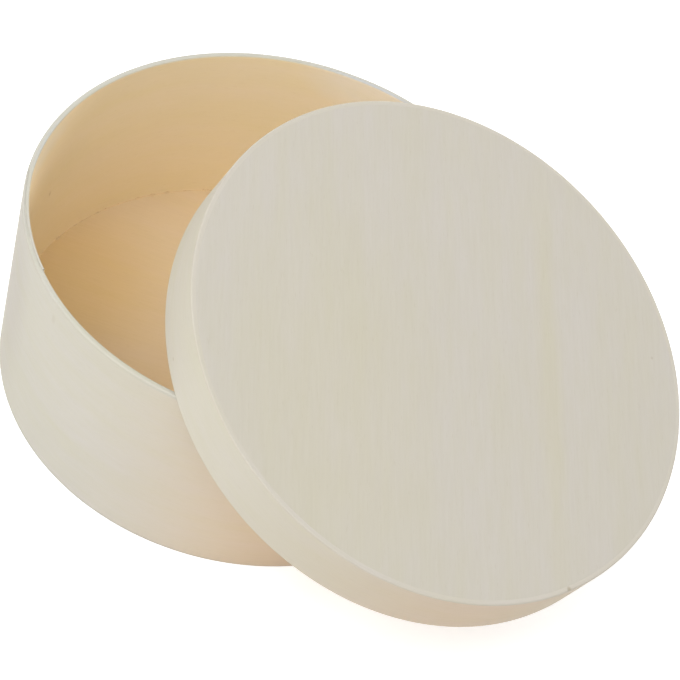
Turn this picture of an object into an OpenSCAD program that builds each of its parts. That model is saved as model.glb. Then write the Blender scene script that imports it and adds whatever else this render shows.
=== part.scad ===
// Round chipwood box: a box and a shallow lid, each a bent strip round a flat disc, the lid askew on the rim.
// Millimetres. Origin at the centre of the box's underside, +Z up, the lid shifted and tipped towards +X.

/* [Box] */
// Outside diameter of the box wall
box_d = 120; // [80:1:200]
// Height of the box wall from the table to the rim
box_h = 51; // [35:0.5:90]
// Thickness of the strip that the box wall is bent from
wall_t = 1.5; // [1.2:0.1:3]
// Thickness of the floor disc
floor_t = 3.4; // [2:0.1:6]

/* [Lid] */
// Depth of the lid from its face to the lower edge of its band
lid_h = 14.8; // [10:0.1:20]
// Thickness of the strip that the lid band is bent from
band_t = 1.2; // [1:0.1:3]
// Thickness of the lid's disc
top_t = 2.5; // [1.5:0.1:5]
// Play between the box wall and the lid band, on each side
lid_play = 0.3; // [0.2:0.05:1]

/* [Lap joints] */
// Length of the glued overlap of a strip's two ends
lap_len = 32; // [20:1:45]
// How far the inner end of the box wall's lap stands proud
lap_step = 0.3; // [0.1:0.05:0.6]
// Direction of the inner end of the box wall's lap
wall_lap_az = -112.5; // [-180:0.5:180]
// Direction of the inner end of the lid band's lap, about the lid's own axis
band_lap_az = 122; // [-180:1:180]
// Thickness of a strip's skived end where it is cut off
end_t = 0.35; // [0.2:0.05:0.5]
// Thickness of the film of glue in a lap
film_t = 0.15; // [0.1:0.01:0.3]

/* [Discs and edges] */
// Gap between a disc's edge and the strip around it
disc_fit = 0.05; // [0.02:0.01:0.2]
// Leg of the bead of glue in the corner between a disc and its strip
bead_leg = 0.8; // [0.4:0.1:2]
// Radius of the sanded edges of the rim and of the lid's face
sand_r = 0.4; // [0.1:0.05:0.5]

/* [Resting lid] */
// Tilt of the lid where it lies askew on the rim
lid_tilt = 19.4; // [16:0.1:30]
// Gap left between the lid and the rim where they rest on each other
rest_gap = 0.25; // [0.1:0.05:1]

/* [Hidden] */
$fn = 180;
wood_light = [0.86, 0.82, 0.73];
wood_strip = [0.84, 0.78, 0.67];
glue_amber = [0.72, 0.58, 0.38];
over = 1;

box_r = box_d / 2;
wall_in = box_r - wall_t;
band_in = box_r + lid_play;
band_out = band_in + band_t;

// The lid rests on three places: the inner lower edge of its band on the rim at both ends of a chord,
// and its disc's inner face on the rim's foremost point. Chord and lid centre follow from the tilt.
lid_cavity = lid_h - top_t;
chord_x = box_r - lid_cavity / sin(lid_tilt);
chord_u = -sqrt(band_in * band_in - box_r * box_r + chord_x * chord_x);
lid_x = chord_x - chord_u * cos(lid_tilt);
lid_z = box_h + chord_u * sin(lid_tilt) + rest_gap;

// Cross-section of a strip, radius along x, its top edges sanded round.
module strip_section(r_in, r_out, h) {
    translate([r_in, 0]) square([r_out - r_in, h - sand_r]);
    translate([r_in + sand_r, 0]) square([r_out - r_in - 2 * sand_r, h]);
    for (r = [r_in + sand_r, r_out - sand_r])
        translate([r, h - sand_r]) circle(r = sand_r);
}

module strip_ring(r_in, r_out, h) {
    rotate_extrude() strip_section(r_in, r_out, h);
}

// Half space on the clockwise side (side = -1) or the other side (side = 1) of a direction, as a big block.
module beside(az, side, r, h) {
    rotate(az) translate([-2 * r, side < 0 ? -2 * r : 0, -over]) cube([4 * r, 2 * r, h + 2 * over]);
}

// Slit between a strip's two ends. It slants through the ring from az to one lap further clockwise, as a
// thin eccentric shell, and comes out square at both ends, where the strip is cut off end_t thick.
module lap_slit(r_in, r_out, h, az) {
    lap_angle = lap_len / r_out * 180 / PI;
    shift = ((r_out - r_in) / 2 - end_t) / sin(lap_angle / 2);
    mid_r = (r_in + r_out) / 2;
    slot = end_t + film_t;
    intersection() {
        rotate(az - lap_angle / 2 - 90) translate([shift, 0, -over]) difference() {
            cylinder(r = mid_r + film_t / 2, h = h + 2 * over);
            translate([0, 0, -over]) cylinder(r = mid_r - film_t / 2, h = h + 4 * over);
        }
        beside(az, -1, r_out, h);
        beside(az - lap_angle, 1, r_out, h);
    }
    rotate(az) translate([r_in - over, -film_t, -over]) cube([slot + over, film_t, h + 2 * over]);
    rotate(az - lap_angle) translate([r_out - slot, 0, -over]) cube([slot + over, film_t, h + 2 * over]);
}

// Film of glue that fills the slit up to the sanded edge.
module lap_film(r_in, r_out, h, az) {
    intersection() {
        lap_slit(r_in, r_out, h, az);
        difference() {
            cylinder(r = r_out, h = h - sand_r);
            translate([0, 0, -over]) cylinder(r = r_in, h = h + 2 * over);
        }
    }
}

// The inner end of the box wall's strip, which stands a little proud of the wall above the floor's glue.
module lap_end() {
    lap_angle = lap_len / box_r * 180 / PI;
    shift = lap_step / sin(lap_angle);
    z0 = floor_t + bead_leg;
    intersection() {
        translate([0, 0, z0]) difference() {
            cylinder(r = wall_in + wall_t / 2, h = box_h - z0);
            rotate(wall_lap_az - lap_angle - 90) translate([shift, 0, -over])
                cylinder(r = wall_in, h = box_h + 2 * over);
        }
        rotate(wall_lap_az) translate([0, -film_t, 0]) beside(0, -1, box_r, box_h);
        beside(wall_lap_az - lap_angle, 1, box_r, box_h);
    }
}

// Bead of glue in a corner: legs along the strip (up) and along the disc (in), radius along x.
module corner_bead(r, up) {
    rotate_extrude() polygon([[r, 0], [r - bead_leg, 0], [r, up * bead_leg]]);
}

module box_wall() {
    color(wood_strip) difference() {
        union() {
            strip_ring(wall_in, box_r, box_h);
            lap_end();
        }
        lap_slit(wall_in, box_r, box_h, wall_lap_az);
    }
}

module wall_lap_glue() {
    color(glue_amber) lap_film(wall_in, box_r, box_h, wall_lap_az);
}

module box_floor() {
    color(wood_light) cylinder(r = wall_in - disc_fit, h = floor_t);
}

module floor_glue() {
    color(glue_amber) translate([0, 0, floor_t]) corner_bead(wall_in, 1);
}

// Puts what is modelled about the lid's own axis, from its lower edge up, where the lid rests.
module on_rim() {
    translate([lid_x, 0, lid_z]) rotate([0, lid_tilt, 0]) children();
}

module lid_band() {
    color(wood_strip) on_rim() difference() {
        strip_ring(band_in, band_out, lid_h);
        lap_slit(band_in, band_out, lid_h, band_lap_az);
    }
}

module lid_lap_glue() {
    color(glue_amber) on_rim() lap_film(band_in, band_out, lid_h, band_lap_az);
}

module lid_top() {
    color(wood_light) on_rim() translate([0, 0, lid_cavity]) cylinder(r = band_in - disc_fit, h = top_t);
}

module lid_glue() {
    color(glue_amber) on_rim() translate([0, 0, lid_cavity]) corner_bead(band_in, -1);
}

box_wall();
wall_lap_glue();
box_floor();
floor_glue();
lid_band();
lid_lap_glue();
lid_top();
lid_glue();
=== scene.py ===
"""Looks of a round chipwood box: a bent strip with a floor disc, and a bent-strip lid askew on its rim.

Metres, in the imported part's frame. Every piece is a finer mesh that stands for its CAD node, built from the
node's own measures, with the small unevenness of bent, sawn and sanded wood. Discs and beads of glue reach
a hair into the strip around them, and the whole stays inside the CAD model's box.
"""

import math
from dataclasses import dataclass

import bmesh
import bpy
import numpy as np
from mathutils import Matrix, Quaternion, Vector, noise


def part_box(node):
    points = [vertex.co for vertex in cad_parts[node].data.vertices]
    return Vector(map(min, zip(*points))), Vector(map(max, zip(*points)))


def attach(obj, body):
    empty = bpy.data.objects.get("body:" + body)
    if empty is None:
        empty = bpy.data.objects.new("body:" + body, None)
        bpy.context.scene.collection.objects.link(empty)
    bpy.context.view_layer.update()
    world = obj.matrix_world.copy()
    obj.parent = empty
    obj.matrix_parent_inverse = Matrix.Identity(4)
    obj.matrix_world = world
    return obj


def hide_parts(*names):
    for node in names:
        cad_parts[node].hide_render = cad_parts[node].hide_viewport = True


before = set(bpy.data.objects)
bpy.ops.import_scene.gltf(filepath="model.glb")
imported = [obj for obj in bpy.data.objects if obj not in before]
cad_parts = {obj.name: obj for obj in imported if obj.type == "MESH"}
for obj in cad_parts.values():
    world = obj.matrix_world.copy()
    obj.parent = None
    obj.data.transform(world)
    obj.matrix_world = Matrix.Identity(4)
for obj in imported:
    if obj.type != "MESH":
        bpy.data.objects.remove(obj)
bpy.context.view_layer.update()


# Kinds of named values

@dataclass
class Lumps:
    """Lumps round a turn, where a coarse and a fine wave together rise above a level. Waves per radian."""
    coarse: float
    fine: float
    fine_share: float
    level: float


@dataclass
class Layer:
    """A layer of the wood's figure: its features' length along the grain, width, octaves and shift."""
    long: float
    wide: float
    detail: int
    shift: float


@dataclass
class Lamp:
    """A soft round lamp: its level, its azimuth and elevation in degrees, and its width."""
    level: float
    azimuth: float
    elevation: float
    width: float


MM = 0.001

# Camera, fitted to the outlines of the rim, the wall and the lid in the photograph
LENS_MM = 121.0
LOOK_AT = Vector((27.18, -5.39, 40.05)) * MM
CAMERA_DISTANCE = 526 * MM
VIEW_AZIMUTH = math.radians(-60.21)
VIEW_PITCH = math.radians(46.69)
VIEW_ROLL = math.radians(17.91)

# Lap joints, as in the part's source: their length, the azimuths of the strips' inner ends, and the
# thickness of a skived end and of the film of glue
LAP_LEN = 32 * MM
WALL_LAP_AZ = math.radians(-112.5)
BAND_LAP_AZ = math.radians(122)
END_T = 0.35 * MM
FILM_T = 0.15 * MM

# A hair's breadth, which keeps neighbouring rows of points apart: how many make up the film's thickness
HAIRS_IN_FILM = 50

# Height over which the wall's inner end comes to stand proud, above the bead of glue
PROUD_RISE = 1 * MM

# Rounding of edges, and the most of a strip's thickness that one edge of its foot takes
RIM_R = 0.4 * MM
ARRIS_R = 0.35 * MM
SEAM_R = 0.02 * MM
SLIT_R = 0.03 * MM
FOOT_R = 0.2 * MM
FOOT_SHARE = 0.45

# Unevenness: its depth on surfaces and on the upper edges of wall and lid, the least share of it on such
# an edge and on a strip's side, and the gain of its noise
SURFACE_WAVE = 0.05 * MM
RIM_WAVE = 0.10 * MM
LID_WAVE = 0.04 * MM
RIM_LEAST = 0.3
SIDE_LEAST = 0.4
NOISE_GAIN = 0.6

# How fine it is, in waves per radian round the turn, and in waves per metre up a side or out on a face
RIM_WAVES = 5
SIDE_WAVES = 6
SIDE_WAVES_UP = 60
FACE_WAVES = 1.5
FACE_WAVES_OUT = 25

# Chips out of the floor disc's edge, and how far in from a disc's edge its face's own unevenness comes in
CHIPS = Lumps(coarse=45, fine=130, fine_share=1.0, level=1.0)
CHIP_DEPTH = 0.1 * MM
EDGE_BAND = 5 * MM

# A nick on the edge of the lid
NICK_AZ = math.radians(-14)
NICK_SPREAD = math.radians(0.5)
NICK_DEPTH = 0.2 * MM

# Beads of glue: their lumps, the least share of the CAD bead that they fill, how the lumps widen and raise
# them, how hollow they are, where the points across them lie, and how far they sink into the wood
BLOBS = Lumps(coarse=30, fine=90, fine_share=0.7, level=0.9)
BEAD_LEAST = 0.12
BEAD_WIDER = 1.8
BEAD_TALLER = 1.5
BEAD_HOLLOW = 1.3
BEAD_SHARES = (0.15, 0.4, 0.65, 0.9)
SINK = 0.05 * MM

# Seeds of the pieces' unevenness, and what is added to a seed for a piece's further patterns
WALL_SEED = 2.0
BAND_SEED = 31.0
FLOOR_SEED = 50.0
FLOOR_BEAD_SEED = 63.0
LID_SEED = 77.0
LID_BEAD_SEED = 85.0
FINE_SEED = 5
SIDE_SEED = 7
FACE_SEED = 11

# Mesh steps, and where the rows of points lie on a strip's side and on a disc's face
TURN_STEPS = 900
LAP_STEPS = 60
ARC_STEPS = 5
SIDE_SHARES = (0.01, 0.03, 0.08, 0.16, 0.25, 0.35, 0.45, 0.55, 0.65, 0.75, 0.84, 0.92, 0.97, 0.99)
DISC_SHARES = (0.12, 0.25, 0.4, 0.55, 0.7, 0.82, 0.9, 0.95, 0.975, 0.99)
SMOOTH_ANGLE = math.radians(35)

# Grain directions of the two discs, about the axis of each
LID_GRAIN = math.radians(-42)
FLOOR_GRAIN = math.radians(28)

# Figure of the wood, layer by layer, and how much of its tone the clouds and flecks make up
STREAK = Layer(long=120 * MM, wide=5 * MM, detail=2, shift=0)
CLOUD = Layer(long=45 * MM, wide=14 * MM, detail=3, shift=3)
FLECK = Layer(long=12 * MM, wide=3 * MM, detail=2, shift=7)
FIBRE = Layer(long=8 * MM, wide=0.5 * MM, detail=3, shift=5)
PORE = Layer(long=2.2 * MM, wide=0.28 * MM, detail=1, shift=9)
CLOUD_SHARE = 0.35
FLECK_SHARE = 0.25

# Streaks and fibres: their strength in the box's and the lid's wood, and in strips and boards
BOX_STREAKS = 0.4
LID_STREAKS = 0.2
STRIP_FIBRES = 1.0
BOARD_FIBRES = 1.8

# Noise: the range that most of it lies in, the range that is a pore, and its roughness
NOISE_LOW = 0.3
NOISE_HIGH = 0.7
PORE_FROM = 0.64
PORE_TO = 0.76
NOISE_ROUGHNESS = 0.55

# Surface of the wood: roughness, shine and relief
WOOD_SMOOTH = 0.58
WOOD_ROUGH = 0.74
WOOD_SPECULAR = 0.25
WOOD_BUMP = 0.35
WOOD_RELIEF = 0.03 * MM
PORE_DEPTH = 0.6

# Surface of the glue: its patches per metre, their range and how pale they are, roughness and relief
GLUE_PATCHES = 400.0
GLUE_DETAIL = 3.0
GLUE_FROM = 0.35
GLUE_TO = 0.65
GLUE_PALE = 1.2
GLUE_SMOOTH = 0.3
GLUE_ROUGH = 0.55
GLUE_BUMP = 0.4
GLUE_RELIEF = 0.05 * MM

# A stretch of each strip's outer side under the lid, tinted with painted light: painted warm bounce light on
# the wall, painted warm shade on the band. Its middle, its spread and its tints
LID_LIGHT_AZ = math.radians(-35)
LID_LIGHT_SPREAD = math.radians(29)
WALL_PAINTED_BOUNCE = (1.27, 1.045, 0.865)
BAND_PAINTED_SHADE = (1.05, 0.92, 0.855)

# Tints of the wood's tone, fibres and pores
PALE_TONE = (1.015, 1.012, 1.080)
DEEP_TONE = (0.985, 0.988, 0.920)
FIBRE_TINT = (0.007, 0.008, 0.010)
PORE_TINT = (0.965, 0.955, 0.935)

# Tints of the few dark specks and of the broad patches, the share of each that has its full tint, and how
# deep into the wood it goes. The patches at the box's mouth and on the middle of the wall are painted light,
# those on the left of the wall and on the floor painted shade; the lid's yellow patches are the wood's own
# tone
SPECK_TINT = (0.76, 0.70, 0.62)
LEFT_MOUTH_PAINTED_LIGHT = (0.955, 0.995, 1.08)
RIGHT_MOUTH_PAINTED_LIGHT = (0.995, 1.050, 1.23)
WALL_MIDDLE_PAINTED_LIGHT = (1.035, 1.032, 1.045)
WALL_LEFT_PAINTED_SHADE = (0.935, 0.920, 0.935)
LID_YELLOW = (1.000, 0.998, 0.944)
FLOOR_PAINTED_SHADE = (1.01, 0.955, 0.79)
SPECK_CORE = 0.4
SPECK_DEEP = 1 * MM

# How the inner side's colour comes in over the inner edge of a strip
INSIDE_EASE = 1.5

# Colours (linear)
LID_FACE = (0.519, 0.487, 0.415)
STRIP_OUT = (0.557, 0.545, 0.482)
BAND_OUT = (0.568, 0.546, 0.457)
# The inner sides' colours are brighter and warmer than the outer ones: painted warm bounce light inside the
# box and the lid, on top of the wood's own colour
STRIP_IN_PAINTED_BOUNCE = (0.990, 0.853, 0.594)
BOARD_IN_PAINTED_BOUNCE = (0.750, 0.586, 0.376)
LID_EDGE = (0.543, 0.507, 0.429)
RIM_TOP = (0.528, 0.511, 0.444)
GLUE = (0.705, 0.530, 0.312)
LAP_GLUE = (0.524, 0.506, 0.438)
FLOOR_BOUNCE = (0.86, 0.81, 0.75)
FLOOR_SEEN = (0.82, 0.82, 0.82)
WHITE = (1.0, 1.0, 1.0)

# Light: a white surround and soft lamps
SURROUND = 0.407
LAMPS = {
    "key": Lamp(level=0.407, azimuth=-105, elevation=57, width=0.9),
    "low_key": Lamp(level=0.076, azimuth=-105, elevation=40, width=0.9),
    "fill": Lamp(level=0.19, azimuth=-50, elevation=28, width=0.9),
    "high": Lamp(level=0.144, azimuth=-30, elevation=68, width=0.9),
    "side": Lamp(level=0.248, azimuth=-155, elevation=45, width=0.9),
    "top": Lamp(level=0.079, azimuth=60, elevation=60, width=0.9),
    "back": Lamp(level=0.372, azimuth=92, elevation=12, width=0.45),
}
LAMP_DISTANCE = 1.3

# Floor: its width, its glow towards the camera, and the length under which rays pass through it
FLOOR_SIDE = 1.8
FLOOR_GLOW = 0.5
FLOOR_REACH = 1 * MM


# Camera

def direction(azimuth, elevation):
    """Unit vector towards an azimuth and elevation."""
    flat = math.cos(elevation)
    return Vector((flat * math.cos(azimuth), flat * math.sin(azimuth), math.sin(elevation)))


def make_camera():
    """The camera, at the photograph's viewing angle."""
    data = bpy.data.cameras.new("camera")
    data.lens = LENS_MM
    camera = bpy.data.objects.new("camera", data)
    back = direction(VIEW_AZIMUTH, VIEW_PITCH)
    level = (-back).to_track_quat("-Z", "Y")
    camera.rotation_mode = "QUATERNION"
    camera.rotation_quaternion = level @ Quaternion((0, 0, 1), VIEW_ROLL)
    camera.location = LOOK_AT + back * CAMERA_DISTANCE
    bpy.context.scene.collection.objects.link(camera)
    bpy.context.scene.camera = camera


make_camera()
bpy.context.scene.view_settings.view_transform = "Standard"


# Measures of the frame

@dataclass
class Turned:
    """Radii and heights of a node about the z axis of a place."""
    r_in: float
    r_out: float
    low: float
    high: float


def measure(node, place):
    """Radii and heights of a CAD node about a place's z axis."""
    vertices = np.array([v.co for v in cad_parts[node].data.vertices], float)
    local = np.array(place.inverted())
    co = vertices @ local[:3, :3].T + local[:3, 3]
    r = np.hypot(co[:, 0], co[:, 1])
    return Turned(r.min(), r.max(), co[:, 2].min(), co[:, 2].max())


def face_axis(node):
    """Normal of a CAD node's largest face, on the side that points up."""
    face = max(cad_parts[node].data.polygons, key=lambda p: p.area)
    return face.normal * math.copysign(1, face.normal.z)


def place_of_lid():
    """The lid's own place: z along its axis, x down its slope, the origin in its lower edge's plane."""
    axis = face_axis("lid_top")
    side = Vector((0, 1, 0))
    turn = Matrix((side.cross(axis), side, axis)).transposed().to_4x4()
    low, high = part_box("lid_top")
    middle = Matrix.Translation((low + high) / 2) @ turn
    return Matrix.Translation(axis * measure("lid_band", middle).low) @ middle


BOX = Matrix.Identity(4)
LID = place_of_lid()


# Unevenness

def ripple(azimuth, height, seed, per_radian, per_metre):
    """Smooth noise from 0 to 1 that closes round the turn."""
    x = per_radian * math.cos(azimuth)
    y = per_radian * math.sin(azimuth)
    spot = Vector((x, y, seed + per_metre * height))
    return min(1.0, max(0.0, 0.5 + NOISE_GAIN * noise.noise(spot)))


ripples = np.vectorize(ripple, otypes=[float])


def at_least(least, share):
    """A share from 0 to 1, made to run from a least one to 1."""
    return least + (1 - least) * share


def rise(lumps, turn, seed):
    """How far the lumps stand out at each angle of a turn."""
    coarse = ripples(turn, 0, seed, lumps.coarse, 0)
    fine = ripples(turn, 0, seed + FINE_SEED, lumps.fine, 0)
    return np.maximum(0, coarse + lumps.fine_share * fine - lumps.level)


def hump(angle, spread):
    """A smooth hump of height 1 at angle zero, on the turn."""
    near = (angle + math.pi) % (2 * math.pi) - math.pi
    return np.exp(-(near / spread) ** 2)


# Mesh building

def make_piece(name, body, node, place, points, faces, marks, material):
    """A closed mesh piece that stands for a CAD node.

    The points are in the place's own axes, and the marks are vertex attributes.
    """
    mesh = bpy.data.meshes.new(name)
    mesh.from_pydata(points.tolist(), [], faces)
    mesh.transform(place)
    bm = bmesh.new()
    bm.from_mesh(mesh)
    if bm.calc_volume(signed=True) < 0:
        bmesh.ops.reverse_faces(bm, faces=bm.faces)
    bm.to_mesh(mesh)
    bm.free()
    for key, values in marks.items():
        kind, field = ("FLOAT_VECTOR", "vector") if np.ndim(values) == 2 else ("FLOAT", "value")
        attribute = mesh.attributes.new(key, kind, "POINT")
        attribute.data.foreach_set(field, np.asarray(values, np.float32).ravel())
    mesh.shade_smooth()
    mesh.set_sharp_from_angle(angle=SMOOTH_ANGLE)
    mesh.materials.append(material)
    piece = bpy.data.objects.new(name, mesh)
    bpy.context.scene.collection.objects.link(piece)
    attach(piece, body)
    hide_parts(node)


def loft_faces(rows, columns, ring):
    """Quads between rows of closed outlines. The rows form a ring, or the first and last row are capped."""
    faces = []
    for i in range(rows if ring else rows - 1):
        here, there = i * columns, (i + 1) % rows * columns
        for j in range(columns):
            k = (j + 1) % columns
            faces.append((here + j, there + j, there + k, here + k))
    if not ring:
        faces.append(tuple(range(columns)))
        faces.append(tuple(reversed(range((rows - 1) * columns, rows * columns))))
    return faces


def disc_faces(rows, columns):
    """Faces of a disc: rows of open outlines from face to face, and a fan in the middle of each face."""
    faces = []
    first, last = rows * columns, rows * columns + 1
    for i in range(rows):
        here, there = i * columns, (i + 1) % rows * columns
        faces.append((first, there, here))
        faces.append((last, here + columns - 1, there + columns - 1))
        for j in range(columns - 1):
            faces.append((here + j, there + j, there + j + 1, here + j + 1))
    return faces


def round_points(azimuth, radius, height):
    """Points from cylinder coordinates, a row of azimuths for rows of radii and heights."""
    turn = np.broadcast_to(azimuth[:, None], radius.shape)
    return np.stack([radius * np.cos(turn), radius * np.sin(turn), height], -1).reshape(-1, 3)


def stacked(columns):
    """Radius, height and side of a section's points, from one entry for each column."""
    radius, height, side = zip(*columns)
    return np.stack(radius, 1), np.stack(height, 1), np.array(side)


# Bent strips

@dataclass
class Strip:
    """A strip bent round the z axis, its two skived ends lapped.

    Angles run anticlockwise from its outer end. Its inner end lies at the azimuth lap_az, and stands proud
    above the height proud_from.
    """
    r_in: float
    r_out: float
    low: float
    high: float
    lap_az: float
    proud: float
    proud_from: float
    inner_edge: float
    outer_edge: float
    rim_wave: float
    nick: float
    seed: float

    @property
    def lap(self):
        """Angle of the lap."""
        return LAP_LEN / self.r_out

    @property
    def start(self):
        """Azimuth of the outer end."""
        return self.lap_az - self.lap

    def along_grain(self, azimuth, height, radius):
        """A place on the strip in the grain's own axes."""
        angle = (azimuth - self.start) % (2 * math.pi)
        return angle * self.r_out, height, radius - self.r_out

    def slit(self, angle):
        """Radius of the middle of the slit between the lapped ends, at an angle from the outer end."""
        first = self.r_out - END_T - FILM_T / 2
        last = self.r_in + END_T + FILM_T / 2
        return first + (last - first) * angle / self.lap

    def top(self, azimuth):
        """Height of the upper edge, which dips a little."""
        return self.high - self.rim_wave * at_least(RIM_LEAST, ripples(azimuth, 0, self.seed, RIM_WAVES, 0))


def strip_rows(strip):
    """The strip's rows of points, from its outer end to its inner end.

    Each row's angle, its two radii, how far its inner side stands proud, and the rounding of its two edges.
    """
    gap = FILM_T / strip.r_out
    hair = gap / HAIRS_IN_FILM
    outer = np.linspace(gap, strip.lap, LAP_STEPS)
    whole = np.linspace(strip.lap + hair, 2 * math.pi - hair, TURN_STEPS)
    inner = np.linspace(0, strip.lap - gap, LAP_STEPS)
    angle = np.r_[outer, whole, inner + 2 * math.pi]
    ends, middle = np.ones(LAP_STEPS), np.ones(TURN_STEPS)
    r_in = np.r_[strip.slit(outer) + FILM_T / 2, strip.r_in * middle, strip.r_in * ends]
    r_out = np.r_[strip.r_out * ends, strip.r_out * middle, strip.slit(inner) - FILM_T / 2]
    proud = np.r_[0 * ends, 0 * middle, strip.proud * inner / strip.lap]
    room = r_out - r_in - 2 * SLIT_R
    inner_edge = np.minimum(np.r_[SLIT_R * ends, strip.inner_edge * middle, strip.inner_edge * ends], room)
    outer_edge = np.minimum(np.r_[strip.outer_edge * ends, strip.outer_edge * middle, SLIT_R * ends], room)
    return angle, r_in, r_out, proud, inner_edge, outer_edge


def section(r_in, r_out, low, high, inner_edge, outer_edge, foot):
    """Cross-sections of a strip, a row for each pair of radii: radius, height and side of each point.

    Each runs anticlockwise from the inner foot: under, up the outside, over the top and down the inside.
    """
    foot = np.minimum(foot, FOOT_SHARE * (r_out - r_in))
    columns = []

    def arc(side, r, z, size, start):
        for t in np.linspace(start, start + math.pi / 2, ARC_STEPS + 1):
            columns.append((r + size * math.cos(t), z + size * math.sin(t), side))

    def straight(side, r, start, end):
        for share in SIDE_SHARES:
            columns.append((r, start + (end - start) * share, side))

    arc("inner_foot", r_in + foot, low + foot, foot, math.pi)
    arc("outer_foot", r_out - foot, low + foot, foot, 1.5 * math.pi)
    straight("outer", r_out, low + foot, high - outer_edge)
    arc("outer_edge", r_out - outer_edge, high - outer_edge, outer_edge, 0)
    arc("inner_edge", r_in + inner_edge, high - inner_edge, inner_edge, math.pi / 2)
    straight("inner", r_in, high - inner_edge, low + foot)
    return stacked(columns)


def inner_share(side):
    """How much of the inner side's colour each point of a section has: it comes in over the inner edge."""
    share = (side == "inner") * 1.0
    share[side == "inner_edge"] = np.linspace(0, 1, ARC_STEPS + 1) ** INSIDE_EASE
    return share


def bent_strip(name, body, node, place, strip, material):
    """The wooden strip, a little uneven within the radii and heights of its CAD node."""
    angle, r_in, r_out, proud, inner_edge, outer_edge = strip_rows(strip)
    azimuth = strip.start + angle
    high = strip.top(azimuth)
    outer_edge = outer_edge + strip.nick * hump(azimuth - NICK_AZ, NICK_SPREAD)
    radius, height, side = section(r_in, r_out, strip.low, high, inner_edge, outer_edge, FOOT_R)
    outwards = np.isin(side, ["outer_foot", "outer", "outer_edge"]) * 1.0
    inwards = 1 - outwards
    uneven = ripples(azimuth[:, None], height, strip.seed + SIDE_SEED, SIDE_WAVES, SIDE_WAVES_UP)
    wave = SURFACE_WAVE * at_least(SIDE_LEAST, uneven)
    above = np.clip((height - strip.proud_from) / PROUD_RISE, 0, 1)
    radius = radius - outwards * wave + inwards * (wave - proud[:, None] * above)
    along = np.broadcast_to(angle[:, None] * strip.r_out, radius.shape)
    rows, columns = radius.shape
    marks = {
        "grain": np.stack([along, height, radius - strip.r_out], -1).reshape(-1, 3),
        "inside": np.tile(inner_share(side), rows),
        "edge": np.tile(np.isin(side, ["outer_edge", "inner_edge"]), rows),
        # Where the painted bounce light and shade under the lid lies on the outer side
        "painted_lid_light": np.repeat(hump(azimuth - LID_LIGHT_AZ, LID_LIGHT_SPREAD), columns),
    }
    points = round_points(azimuth, radius, height)
    faces = loft_faces(rows, columns, ring=False)
    make_piece(name, body, node, place, points, faces, marks, material)


def lap_film(name, body, node, place, strip, material):
    """The glue between a strip's lapped ends, which shows as a fine line where each end is cut off.

    Its first and last two rows reach out to the strip's sides, and are rounded as the strip's edges are.
    """
    gap = FILM_T / strip.r_out
    hair = gap / HAIRS_IN_FILM
    between = np.linspace(gap, strip.lap - gap, LAP_STEPS)
    angle = np.r_[hair, gap - hair, between, strip.lap - gap + hair, strip.lap - hair]
    reach = FILM_T / 2 - hair * strip.r_out
    r_in = strip.slit(angle) - reach
    r_out = strip.slit(angle) + reach
    r_out[:2] = strip.r_out - SURFACE_WAVE
    r_in[-2:] = strip.r_in + SURFACE_WAVE
    room = r_out - r_in - 2 * SLIT_R
    inner_edge = np.full(angle.shape, SLIT_R)
    outer_edge = np.full(angle.shape, SLIT_R)
    outer_edge[:2] = np.minimum(strip.outer_edge, room[:2])
    inner_edge[-2:] = np.minimum(strip.inner_edge, room[-2:])
    azimuth = strip.start + angle
    high = strip.top(azimuth)
    radius, height, _ = section(r_in, r_out, strip.low, high, inner_edge, outer_edge, SLIT_R)
    points = round_points(azimuth, radius, height)
    faces = loft_faces(*radius.shape, ring=False)
    make_piece(name, body, node, place, points, faces, {}, material)


# Discs and the beads of glue round them

def turn_angles():
    """Angles of the rows of points round a whole turn."""
    return np.linspace(0, 2 * math.pi, TURN_STEPS, endpoint=False)


def across_grain(place, grain_az):
    """Places on a disc, one row each, in the grain's own axes."""
    c, s = math.cos(grain_az), math.sin(grain_az)
    x, y, z = np.transpose(place)
    return np.stack([x * c + y * s, y * c - x * s, z], -1)


def disc_section(size, bite):
    """Sections of a disc from face to face, a row for each bite out of its upper edge.

    Radius, height and side of each point.
    """
    foot = np.full(TURN_STEPS, FOOT_R)
    high = np.full(TURN_STEPS, size.high)
    low = np.full(TURN_STEPS, size.low)
    columns = []
    for share in DISC_SHARES:
        columns.append(((size.r_out - bite) * share, high, "top"))
    for t in np.linspace(math.pi / 2, 0, ARC_STEPS + 1):
        columns.append((size.r_out - bite * (1 - math.cos(t)), high - bite * (1 - math.sin(t)), "edge"))
    for t in np.linspace(0, -math.pi / 2, ARC_STEPS + 1):
        columns.append((size.r_out - foot * (1 - math.cos(t)), low + foot * (1 + math.sin(t)), "foot"))
    for share in reversed(DISC_SHARES):
        columns.append(((size.r_out - foot) * share, low, "under"))
    return stacked(columns)


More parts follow.
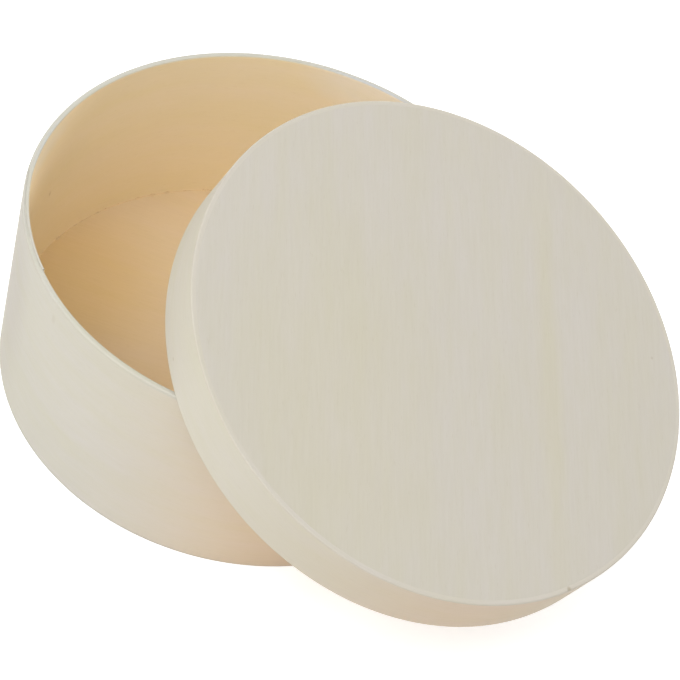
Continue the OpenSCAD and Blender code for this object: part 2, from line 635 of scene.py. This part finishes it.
def wooden_disc(name, body, node, place, r_out, grain_az, edge_dip, chip, inside_up, seed, material):
    """A sawn disc, pressed a hair into the strip around it: r_out takes in the play beside the CAD node.

    Its upper edge dips by edge_dip and is chipped by up to chip. Its upper face is the inner one where
    inside_up is 1, and the outer one where it is 0.
    """
    size = measure(node, place)
    size.r_out = r_out
    turn = turn_angles()
    radius, height, side = disc_section(size, SEAM_R + chip * rise(CHIPS, turn, seed))
    upper = np.isin(side, ["top", "edge"])
    dip = SURFACE_WAVE * ripples(turn[:, None], radius, seed + FACE_SEED, FACE_WAVES, FACE_WAVES_OUT)
    inwards = np.clip((size.r_out - radius) / EDGE_BAND, 0, 1)
    height = height - (side == "top") * dip * inwards
    height = height - upper * (1 - inwards) * np.broadcast_to(edge_dip, TURN_STEPS)[:, None]
    middles = [[0, 0, size.high - SURFACE_WAVE / 2], [0, 0, size.low]]
    points = np.r_[round_points(turn, radius, height), middles]
    rows, columns = radius.shape
    inner = upper if inside_up else ~upper
    marks = {
        "grain": across_grain(points, grain_az),
        "inside": np.r_[np.tile(inner, rows), inside_up, 1 - inside_up],
    }
    make_piece(name, body, node, place, points, disc_faces(rows, columns), marks, material)


def glue_bead(name, body, node, place, up, seed, material):
    """An uneven bead of glue in the corner between a disc and its strip, sunk a little into both."""
    size = measure(node, place)
    leg = size.high - size.low
    corner = size.low if up > 0 else size.high
    turn = turn_angles()
    blob = rise(BLOBS, turn, seed)
    wide = leg * np.clip(BEAD_LEAST + BEAD_WIDER * blob, 0, 1)
    tall = leg * np.clip(BEAD_LEAST + BEAD_TALLER * blob, 0, 1)
    sunk = np.full(TURN_STEPS, SINK)
    columns = [(sunk, -sunk), (-wide, -sunk)]
    for share in BEAD_SHARES:
        columns.append((-wide * (1 - share) ** BEAD_HOLLOW, tall * share ** BEAD_HOLLOW))
    columns.append((sunk, tall))
    radius = np.stack([size.r_out + out for out, along in columns], 1)
    height = np.stack([corner + up * along for out, along in columns], 1)
    points = round_points(turn, radius, height)
    faces = loft_faces(*radius.shape, ring=True)
    make_piece(name, body, node, place, points, faces, {}, material)


# Shader nodes

def add(tree, kind, inputs=None, **settings):
    """A shader node with its settings, its inputs set to values or linked to sockets."""
    made = tree.nodes.new(kind)
    for key, value in settings.items():
        setattr(made, key, value)
    for key, value in (inputs or {}).items():
        if isinstance(value, bpy.types.NodeSocket):
            tree.links.new(value, made.inputs[key])
        else:
            made.inputs[key].default_value = value
    return made


def math_of(tree, operation, a, b, clamp=False):
    """Two values joined by a math operation."""
    return add(tree, "ShaderNodeMath", {0: a, 1: b}, operation=operation, use_clamp=clamp).outputs[0]


def ramp_of(tree, value, start, end, low=0.0, high=1.0):
    """A value spread from start..end to low..high, and kept within them."""
    inputs = {"Value": value, "From Min": start, "From Max": end, "To Min": low, "To Max": high}
    return add(tree, "ShaderNodeMapRange", inputs).outputs["Result"]


def spread(tree, pattern, low=0.0, high=1.0):
    """A noise pattern spread to low..high, and kept within them."""
    return ramp_of(tree, pattern, NOISE_LOW, NOISE_HIGH, low, high)


def mix_of(tree, factor, a, b, blend="MIX"):
    """Two colours mixed by a factor."""
    made = add(tree, "ShaderNodeMix", data_type="RGBA", blend_type=blend)
    for socket, value in ((made.inputs[0], factor), (made.inputs[6], a), (made.inputs[7], b)):
        if isinstance(value, bpy.types.NodeSocket):
            tree.links.new(value, socket)
        else:
            socket.default_value = (*value, 1) if isinstance(value, tuple) else value
    return made.outputs[2]


def tint(tree, colour, share, first, last):
    """A colour times a tint that runs from first to last with a share."""
    return mix_of(tree, 1.0, colour, mix_of(tree, share, first, last), "MULTIPLY")


def mark_of(tree, name, output="Fac"):
    """A mark of the mesh, which is 0 where the mesh has none of that name."""
    return add(tree, "ShaderNodeAttribute", attribute_name=name).outputs[output]


def moved(tree, place, scale, location):
    """A place, scaled and then shifted."""
    inputs = {"Vector": place, "Scale": scale, "Location": location}
    return add(tree, "ShaderNodeMapping", inputs).outputs[0]


def grain_noise(tree, grain, layer, shift):
    """Noise drawn out along the grain, with features about as long and wide as the layer's."""
    scale = (1 / layer.long, 1 / layer.wide, 1 / layer.wide)
    location = (shift + layer.shift,) * 3
    spot = moved(tree, grain, scale, location)
    inputs = {"Vector": spot, "Scale": 1.0, "Detail": layer.detail, "Roughness": NOISE_ROUGHNESS}
    return add(tree, "ShaderNodeTexNoise", inputs).outputs[0]


def add_bump(tree, shader, relief, strength, distance):
    """Fine relief on a shader's surface."""
    bump = add(tree, "ShaderNodeBump", {"Strength": strength, "Distance": distance, "Height": relief})
    tree.links.new(bump.outputs[0], shader.inputs["Normal"])


def new_material(name):
    """A material, its node tree and its main shader."""
    material = bpy.data.materials.new(name)
    material.use_nodes = True
    return material, material.node_tree, material.node_tree.nodes["Principled BSDF"]


# Materials

@dataclass
class Speck:
    """A speck or patch on the wood's colour, with a soft edge. Specks are real marks; some patches are
    painted light or shade.

    Its place in the grain's own axes, half its length along the grain and half its width, and its tint.
    """
    place: tuple
    long: float
    wide: float
    tint: tuple


def dark(strength):
    """The tint of a dark speck."""
    return tuple(1 - strength * (1 - c) for c in SPECK_TINT)


def with_specks(tree, colour, grain, specks):
    """A colour with the specks and patches on it."""
    for speck in specks:
        scale = (1 / speck.long, 1 / speck.wide, 1 / SPECK_DEEP)
        shift = tuple(-p * c for p, c in zip(speck.place, scale))
        spot = moved(tree, grain, scale, shift)
        reach = add(tree, "ShaderNodeVectorMath", {0: spot}, operation="LENGTH").outputs["Value"]
        colour = tint(tree, colour, ramp_of(tree, reach, SPECK_CORE, 1.0), speck.tint, WHITE)
    return colour


def side_colours(tree, outer, inner, sanded, lid_light_tint):
    """The wood's colour outside, inside and on its sanded edges, with painted bounce light and shade on the
    stretch outside under the lid.
    """
    inside = mark_of(tree, "inside")
    edge = mark_of(tree, "edge")
    sides = mix_of(tree, inside, outer, inner)
    edged = mix_of(tree, math_of(tree, "SUBTRACT", edge, inside, clamp=True), sides, sanded)
    not_outside = math_of(tree, "MAXIMUM", inside, edge)
    # Painted bounce light and shade on the outer side under the lid
    painted_lid_light = math_of(tree, "SUBTRACT", mark_of(tree, "painted_lid_light"), not_outside, clamp=True)
    return tint(tree, edged, painted_lid_light, WHITE, lid_light_tint)


def grain_tone(tree, grain, shift, streaks):
    """How deep the wood's tone is, from 0 to at most 1: streaks, clouds and flecks along the grain."""
    tone = spread(tree, grain_noise(tree, grain, STREAK, shift), high=streaks)
    for layer, share in ((CLOUD, CLOUD_SHARE), (FLECK, FLECK_SHARE)):
        more = spread(tree, grain_noise(tree, grain, layer, shift), high=share)
        tone = math_of(tree, "ADD", tone, more)
    return tone


def wood(name, shift, outer, inner, sanded, lid_light_tint, fibres, streaks, specks):
    """Pale sanded wood, its tone, fibres and short pores along the grain."""
    material, tree, shader = new_material(name)
    grain = mark_of(tree, "grain", "Vector")
    fibre = grain_noise(tree, grain, FIBRE, shift)
    pore = ramp_of(tree, grain_noise(tree, grain, PORE, shift), PORE_FROM, PORE_TO)
    base = side_colours(tree, outer, inner, sanded, lid_light_tint)
    toned = tint(tree, base, grain_tone(tree, grain, shift, streaks), PALE_TONE, DEEP_TONE)
    pale_fibre = tuple(1 + fibres * c for c in FIBRE_TINT)
    deep_fibre = tuple(1 - fibres * c for c in FIBRE_TINT)
    fibred = tint(tree, toned, spread(tree, fibre), pale_fibre, deep_fibre)
    pored = tint(tree, fibred, pore, WHITE, PORE_TINT)
    tree.links.new(with_specks(tree, pored, grain, specks), shader.inputs["Base Color"])
    tree.links.new(spread(tree, fibre, WOOD_SMOOTH, WOOD_ROUGH), shader.inputs["Roughness"])
    shader.inputs["Specular IOR Level"].default_value = WOOD_SPECULAR
    relief = math_of(tree, "SUBTRACT", fibre, math_of(tree, "MULTIPLY", pore, PORE_DEPTH))
    add_bump(tree, shader, relief, WOOD_BUMP, WOOD_RELIEF)
    return material


def glue(name, tone):
    """Dried glue, uneven in colour and gloss."""
    material, tree, shader = new_material(name)
    spot = add(tree, "ShaderNodeTexCoord").outputs["Object"]
    inputs = {"Vector": spot, "Scale": GLUE_PATCHES, "Detail": GLUE_DETAIL}
    patch = add(tree, "ShaderNodeTexNoise", inputs).outputs[0]
    pale = tuple(GLUE_PALE * c for c in tone)
    colour = mix_of(tree, ramp_of(tree, patch, GLUE_FROM, GLUE_TO), tone, pale)
    tree.links.new(colour, shader.inputs["Base Color"])
    tree.links.new(spread(tree, patch, GLUE_SMOOTH, GLUE_ROUGH), shader.inputs["Roughness"])
    add_bump(tree, shader, patch, GLUE_BUMP, GLUE_RELIEF)
    return material


# Stage

def shown_ray(tree):
    """1 for rays that show the surround itself: from the camera, a mirror or a glass."""
    path = add(tree, "ShaderNodeLightPath").outputs
    seen = math_of(tree, "MAXIMUM", path["Is Camera Ray"], path["Is Glossy Ray"])
    return math_of(tree, "MAXIMUM", seen, path["Is Transmission Ray"])


def floor_material():
    """A pale floor that the camera sees as white, with the object's shadow on it.

    From below it isn't there, and it lets light through to the underside that rests on it.
    """
    material = bpy.data.materials.new("floor")
    material.use_nodes = True
    tree = material.node_tree
    tree.nodes.clear()
    seen = shown_ray(tree)
    colour = mix_of(tree, seen, FLOOR_BOUNCE, FLOOR_SEEN)
    matt = add(tree, "ShaderNodeBsdfDiffuse", {"Color": colour})
    strength = math_of(tree, "MULTIPLY", seen, FLOOR_GLOW)
    glow = add(tree, "ShaderNodeEmission", {"Color": (*WHITE, 1), "Strength": strength})
    lit = add(tree, "ShaderNodeAddShader", {0: matt.outputs[0], 1: glow.outputs[0]})
    under = add(tree, "ShaderNodeNewGeometry").outputs["Backfacing"]
    length = add(tree, "ShaderNodeLightPath").outputs["Ray Length"]
    absent = math_of(tree, "MAXIMUM", under, math_of(tree, "LESS_THAN", length, FLOOR_REACH))
    clear = add(tree, "ShaderNodeBsdfTransparent")
    both = add(tree, "ShaderNodeMixShader", {0: absent, 1: lit.outputs[0], 2: clear.outputs[0]})
    add(tree, "ShaderNodeOutputMaterial", {"Surface": both.outputs[0]})
    return material


def make_floor():
    """The floor, a hair under the object."""
    mesh = bpy.data.meshes.new("floor")
    half = FLOOR_SIDE / 2
    corners = [(-half, -half, -SINK), (half, -half, -SINK), (half, half, -SINK), (-half, half, -SINK)]
    mesh.from_pydata(corners, [], [(0, 1, 2, 3)])
    floor = bpy.data.objects.new("floor", mesh)
    bpy.context.scene.collection.objects.link(floor)
    mesh.materials.append(floor_material())


def make_surround():
    """A white surround, which the camera sees as plain white."""
    world = bpy.data.worlds.new("surround")
    bpy.context.scene.world = world
    world.use_nodes = True
    tree = world.node_tree
    background = tree.nodes["Background"]
    background.inputs["Color"].default_value = (*WHITE, 1)
    level = ramp_of(tree, shown_ray(tree), 0, 1, SURROUND, 1.0)
    tree.links.new(level, background.inputs["Strength"])


def make_lamp(name, lamp):
    """A lamp that points at the object and isn't seen itself.

    Alone, it lights a white face that is turned to it to about its level.
    """
    data = bpy.data.lights.new(name, "AREA")
    data.shape = "DISK"
    data.size = lamp.width
    data.energy = lamp.level * math.pi ** 2 * LAMP_DISTANCE ** 2
    made = bpy.data.objects.new(name, data)
    towards = direction(math.radians(lamp.azimuth), math.radians(lamp.elevation))
    made.location = LOOK_AT + towards * LAMP_DISTANCE
    made.rotation_mode = "QUATERNION"
    made.rotation_quaternion = (-towards).to_track_quat("-Z", "Y")
    made.visible_camera = False
    bpy.context.scene.collection.objects.link(made)


# The two strips

wall = measure("box_wall", BOX)
floor_bead = measure("floor_glue", BOX)
band = measure("lid_band", LID)
wall_strip = Strip(
    r_in=floor_bead.r_out, r_out=wall.r_out, low=wall.low, high=wall.high, lap_az=WALL_LAP_AZ,
    proud=floor_bead.r_out - wall.r_in, proud_from=floor_bead.high,
    inner_edge=RIM_R, outer_edge=RIM_R, rim_wave=RIM_WAVE, nick=0.0, seed=WALL_SEED,
)
lid_strip = Strip(
    r_in=band.r_in, r_out=band.r_out, low=band.low, high=band.high, lap_az=BAND_LAP_AZ,
    proud=0.0, proud_from=band.high,
    inner_edge=SEAM_R, outer_edge=ARRIS_R, rim_wave=LID_WAVE, nick=NICK_DEPTH, seed=BAND_SEED,
)

# Places of the specks and patches, the real ones and those of painted light and shade: by azimuth and height
# on a strip, by x and y on a disc

rim_smudge = wall_strip.along_grain(math.radians(-102.9), 45.5 * MM, wall.r_out)
# Painted light on the middle of the wall's outer side, painted shade towards its left
wall_middle_light = wall_strip.along_grain(math.radians(-93), 40 * MM, wall.r_out)
wall_left_shade = wall_strip.along_grain(math.radians(-126), 28 * MM, wall.r_out)
inner_tick = wall_strip.along_grain(math.radians(-161.9), 25.9 * MM, floor_bead.r_out)
# Painted light on the inner wall near the rim, at both ends of the opening
left_mouth_light = wall_strip.along_grain(math.radians(-154), 48.5 * MM, floor_bead.r_out)
right_mouth_light = wall_strip.along_grain(math.radians(111), 48.5 * MM, floor_bead.r_out)
band_dot = lid_strip.along_grain(math.radians(-120.8), 2.8 * MM, band.r_out)
nick = lid_strip.along_grain(NICK_AZ, band.high, band.r_out - ARRIS_R)
# Painted warm shade on the floor near the wall
floor_shade_patch = across_grain((-46 * MM, -16 * MM, floor_bead.low), FLOOR_GRAIN)
lid_dot = across_grain((30.67 * MM, 45.83 * MM, band.high), LID_GRAIN)

# Two patches on the lid lie along its grain, so their places are in the grain's own axes already

lid_broad_patch = (22 * MM, -27 * MM, band.high)
lid_narrow_patch = (2 * MM, 26.5 * MM, band.high)

# The materials

wall_wood = wood(
    "wall_wood", shift=1.0, outer=STRIP_OUT, inner=STRIP_IN_PAINTED_BOUNCE, sanded=RIM_TOP, lid_light_tint=WALL_PAINTED_BOUNCE,
    fibres=STRIP_FIBRES, streaks=BOX_STREAKS,
    specks=(
        Speck(rim_smudge, long=0.9 * MM, wide=1.8 * MM, tint=dark(0.22)),
        Speck(inner_tick, long=0.5 * MM, wide=1.1 * MM, tint=dark(0.65)),
        # Painted light: paler stretches of the inner wall near the rim, where direct light falls
        Speck(left_mouth_light, long=14 * MM, wide=7 * MM, tint=LEFT_MOUTH_PAINTED_LIGHT),
        Speck(right_mouth_light, long=20 * MM, wide=9 * MM, tint=RIGHT_MOUTH_PAINTED_LIGHT),
        # Painted light on the middle of the outer wall, painted shade towards its left
        Speck(wall_middle_light, long=28 * MM, wide=30 * MM, tint=WALL_MIDDLE_PAINTED_LIGHT),
        Speck(wall_left_shade, long=14 * MM, wide=34 * MM, tint=WALL_LEFT_PAINTED_SHADE),
    ),
)
floor_wood = wood(
    "floor_wood", shift=20.0, outer=STRIP_OUT, inner=BOARD_IN_PAINTED_BOUNCE, sanded=BOARD_IN_PAINTED_BOUNCE, lid_light_tint=WHITE,
    fibres=BOARD_FIBRES, streaks=BOX_STREAKS,
    # Painted warm shade on the floor near the wall
    specks=(Speck(floor_shade_patch, long=29 * MM, wide=29 * MM, tint=FLOOR_PAINTED_SHADE),),
)
hoop_wood = wood(
    "hoop_wood", shift=40.0, outer=BAND_OUT, inner=STRIP_IN_PAINTED_BOUNCE, sanded=LID_EDGE, lid_light_tint=BAND_PAINTED_SHADE,
    fibres=STRIP_FIBRES, streaks=LID_STREAKS,
    specks=(
        Speck(band_dot, long=0.6 * MM, wide=0.4 * MM, tint=dark(0.5)),
        Speck(nick, long=0.7 * MM, wide=0.3 * MM, tint=dark(0.9)),
    ),
)
lid_wood = wood(
    "lid_wood", shift=60.0, outer=LID_FACE, inner=BOARD_IN_PAINTED_BOUNCE, sanded=LID_FACE, lid_light_tint=WHITE,
    fibres=BOARD_FIBRES, streaks=LID_STREAKS,
    specks=(
        Speck(lid_dot, long=0.5 * MM, wide=0.4 * MM, tint=dark(0.5)),
        Speck(lid_broad_patch, long=58 * MM, wide=27 * MM, tint=LID_YELLOW),
        Speck(lid_narrow_patch, long=62 * MM, wide=4 * MM, tint=LID_YELLOW),
    ),
)
bead_glue = glue("bead_glue", GLUE)
lap_glue = glue("lap_glue", LAP_GLUE)

# The pieces: the lid's disc dips with the edge of the band around it, so the two stay flush

lid_dip = lid_strip.high - lid_strip.top(turn_angles())
bent_strip("wall_strip", "box", "box_wall", BOX, wall_strip, wall_wood)
lap_film("wall_film", "box", "wall_lap_glue", BOX, wall_strip, lap_glue)
wooden_disc(
    "floor_board", "box", "box_floor", BOX, wall_strip.r_in + SINK, FLOOR_GRAIN,
    edge_dip=0.0, chip=CHIP_DEPTH, inside_up=1, seed=FLOOR_SEED, material=floor_wood,
)
glue_bead("floor_bead", "box", "floor_glue", BOX, up=1, seed=FLOOR_BEAD_SEED, material=bead_glue)
bent_strip("lid_hoop", "lid", "lid_band", LID, lid_strip, hoop_wood)
lap_film("lid_film", "lid", "lid_lap_glue", LID, lid_strip, lap_glue)
wooden_disc(
    "lid_board", "lid", "lid_top", LID, lid_strip.r_in + SINK, LID_GRAIN,
    edge_dip=lid_dip, chip=0.0, inside_up=0, seed=LID_SEED, material=lid_wood,
)
glue_bead("lid_bead", "lid", "lid_glue", LID, up=-1, seed=LID_BEAD_SEED, material=bead_glue)
make_floor()
make_surround()
for lamp_name, lamp in LAMPS.items():
    make_lamp(lamp_name, lamp)
